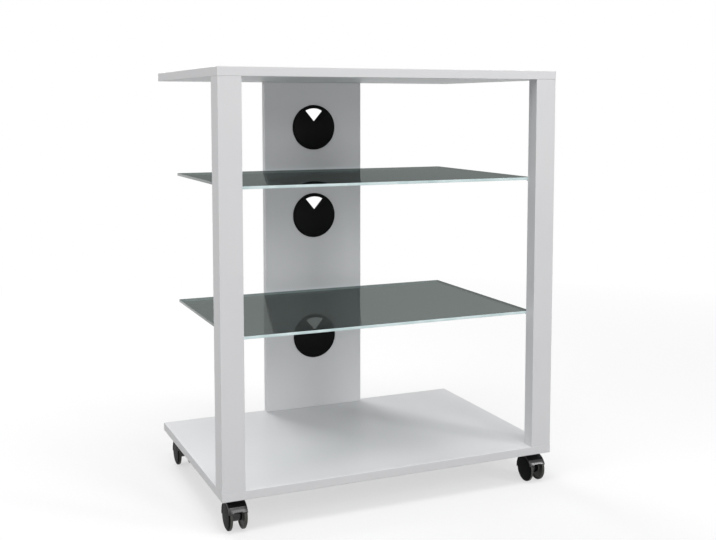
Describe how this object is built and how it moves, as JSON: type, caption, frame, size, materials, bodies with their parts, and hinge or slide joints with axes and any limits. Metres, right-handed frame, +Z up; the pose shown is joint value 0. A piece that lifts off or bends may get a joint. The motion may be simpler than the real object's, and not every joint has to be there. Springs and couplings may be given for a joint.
{
  "type": "audio equipment rack",
  "caption": "Rolling audio rack with white board frame, glass shelves, rear cable panel with round grommets and swivel casters.",
  "frame": {"origin": "on the floor, at the middle of the bounding box in X and Y", "axes": "+Z up, front towards -Y, +X to the right when seen from the front"},
  "size_m": [0.65, 0.435, 0.786],
  "materials": {
    "white_board": "satin white foil",
    "shelf_glass": "clear toughened glass with polished edges",
    "grommet_plastic": "black satin",
    "hood_plastic": "black glossy",
    "wheel_plastic": "dark grey satin",
    "zinc_steel": "bright zinc plated",
    "cast_zinc": "die-cast grey",
    "beech": "raw beech"
  },
  "bodies": {
    "frame": {"base_board": "white_board", "top_board": "white_board", "left_post": "white_board", "right_post": "white_board", "rear_panel": "white_board", "lower_glass_shelf": "shelf_glass", "upper_glass_shelf": "shelf_glass", "lower_shelf_support_front_left": "zinc_steel", "lower_shelf_support_front_right": "zinc_steel", "lower_shelf_support_rear_left": "zinc_steel", "lower_shelf_support_rear_right": "zinc_steel", "upper_shelf_support_front_left": "zinc_steel", "upper_shelf_support_front_right": "zinc_steel", "upper_shelf_support_rear_left": "zinc_steel", "upper_shelf_support_rear_right": "zinc_steel", "upper_grommet_sleeve": "grommet_plastic", "middle_grommet_sleeve": "grommet_plastic", "lower_grommet_sleeve": "grommet_plastic", "caster_front_left_insert": "cast_zinc", "caster_front_left_stem": "zinc_steel", "caster_front_right_insert": "cast_zinc", "caster_front_right_stem": "zinc_steel", "caster_rear_left_insert": "cast_zinc", "caster_rear_left_stem": "zinc_steel", "caster_rear_right_insert": "cast_zinc", "caster_rear_right_stem": "zinc_steel", "left_post_lower_dowel": "beech", "left_post_upper_dowel": "beech", "left_post_screw": "zinc_steel", "left_post_cam_bolt": "zinc_steel", "left_post_cam": "cast_zinc", "rear_panel_dowel_left": "beech", "rear_panel_screw_left": "zinc_steel", "right_post_lower_dowel": "beech", "right_post_upper_dowel": "beech", "right_post_screw": "zinc_steel", "right_post_cam_bolt": "zinc_steel", "right_post_cam": "cast_zinc", "rear_panel_dowel_right": "beech", "rear_panel_screw_right": "zinc_steel"},
    "upper_cap": {"upper_grommet_cap": "grommet_plastic"},
    "middle_cap": {"middle_grommet_cap": "grommet_plastic"},
    "lower_cap": {"lower_grommet_cap": "grommet_plastic"},
    "caster_front_left": {"caster_front_left_hood": "hood_plastic", "caster_front_left_axle": "zinc_steel"},
    "caster_front_left_wheel_left": {"caster_front_left_wheel_left": "wheel_plastic"},
    "caster_front_left_wheel_right": {"caster_front_left_wheel_right": "wheel_plastic"},
    "caster_front_right": {"caster_front_right_hood": "hood_plastic", "caster_front_right_axle": "zinc_steel"},
    "caster_front_right_wheel_left": {"caster_front_right_wheel_left": "wheel_plastic"},
    "caster_front_right_wheel_right": {"caster_front_right_wheel_right": "wheel_plastic"},
    "caster_rear_left": {"caster_rear_left_hood": "hood_plastic", "caster_rear_left_axle": "zinc_steel"},
    "caster_rear_left_wheel_left": {"caster_rear_left_wheel_left": "wheel_plastic"},
    "caster_rear_left_wheel_right": {"caster_rear_left_wheel_right": "wheel_plastic"},
    "caster_rear_right": {"caster_rear_right_hood": "hood_plastic", "caster_rear_right_axle": "zinc_steel"},
    "caster_rear_right_wheel_left": {"caster_rear_right_wheel_left": "wheel_plastic"},
    "caster_rear_right_wheel_right": {"caster_rear_right_wheel_right": "wheel_plastic"}
  },
  "joints": [
    {"name": "upper_cap_turn", "type": "hinge", "parent": "frame", "child": "upper_cap", "pos_m": [0, 0.2015, 0.676], "axis": [0, -1, 0], "continuous": true},
    {"name": "middle_cap_turn", "type": "hinge", "parent": "frame", "child": "middle_cap", "pos_m": [0, 0.2015, 0.4895], "axis": [0, -1, 0], "continuous": true},
    {"name": "lower_cap_turn", "type": "hinge", "parent": "frame", "child": "lower_cap", "pos_m": [0, 0.2015, 0.229], "axis": [0, -1, 0], "continuous": true},
    {"name": "caster_front_left_swivel", "type": "hinge", "parent": "frame", "child": "caster_front_left", "pos_m": [-0.297, -0.178, 0.057], "axis": [0, 0, 1], "continuous": true},
    {"name": "caster_front_left_wheel_left_roll", "type": "hinge", "parent": "caster_front_left", "child": "caster_front_left_wheel_left", "pos_m": [-0.297, -0.1925, 0.025], "axis": [1, 0, 0], "continuous": true},
    {"name": "caster_front_left_wheel_right_roll", "type": "hinge", "parent": "caster_front_left", "child": "caster_front_left_wheel_right", "pos_m": [-0.297, -0.1925, 0.025], "axis": [1, 0, 0], "continuous": true},
    {"name": "caster_front_right_swivel", "type": "hinge", "parent": "frame", "child": "caster_front_right", "pos_m": [0.297, -0.178, 0.057], "axis": [0, 0, 1], "continuous": true},
    {"name": "caster_front_right_wheel_left_roll", "type": "hinge", "parent": "caster_front_right", "child": "caster_front_right_wheel_left", "pos_m": [0.297, -0.1925, 0.025], "axis": [1, 0, 0], "continuous": true},
    {"name": "caster_front_right_wheel_right_roll", "type": "hinge", "parent": "caster_front_right", "child": "caster_front_right_wheel_right", "pos_m": [0.297, -0.1925, 0.025], "axis": [1, 0, 0], "continuous": true},
    {"name": "caster_rear_left_swivel", "type": "hinge", "parent": "frame", "child": "caster_rear_left", "pos_m": [-0.297, 0.181, 0.057], "axis": [0, 0, 1], "continuous": true},
    {"name": "caster_rear_left_wheel_left_roll", "type": "hinge", "parent": "caster_rear_left", "child": "caster_rear_left_wheel_left", "pos_m": [-0.297, 0.1665, 0.025], "axis": [1, 0, 0], "continuous": true},
    {"name": "caster_rear_left_wheel_right_roll", "type": "hinge", "parent": "caster_rear_left", "child": "caster_rear_left_wheel_right", "pos_m": [-0.297, 0.1665, 0.025], "axis": [1, 0, 0], "continuous": true},
    {"name": "caster_rear_right_swivel", "type": "hinge", "parent": "frame", "child": "caster_rear_right", "pos_m": [0.297, 0.181, 0.057], "axis": [0, 0, 1], "continuous": true},
    {"name": "caster_rear_right_wheel_left_roll", "type": "hinge", "parent": "caster_rear_right", "child": "caster_rear_right_wheel_left", "pos_m": [0.297, 0.1665, 0.025], "axis": [1, 0, 0], "continuous": true},
    {"name": "caster_rear_right_wheel_right_roll", "type": "hinge", "parent": "caster_rear_right", "child": "caster_rear_right_wheel_right", "pos_m": [0.297, 0.1665, 0.025], "axis": [1, 0, 0], "continuous": true}
  ]
}
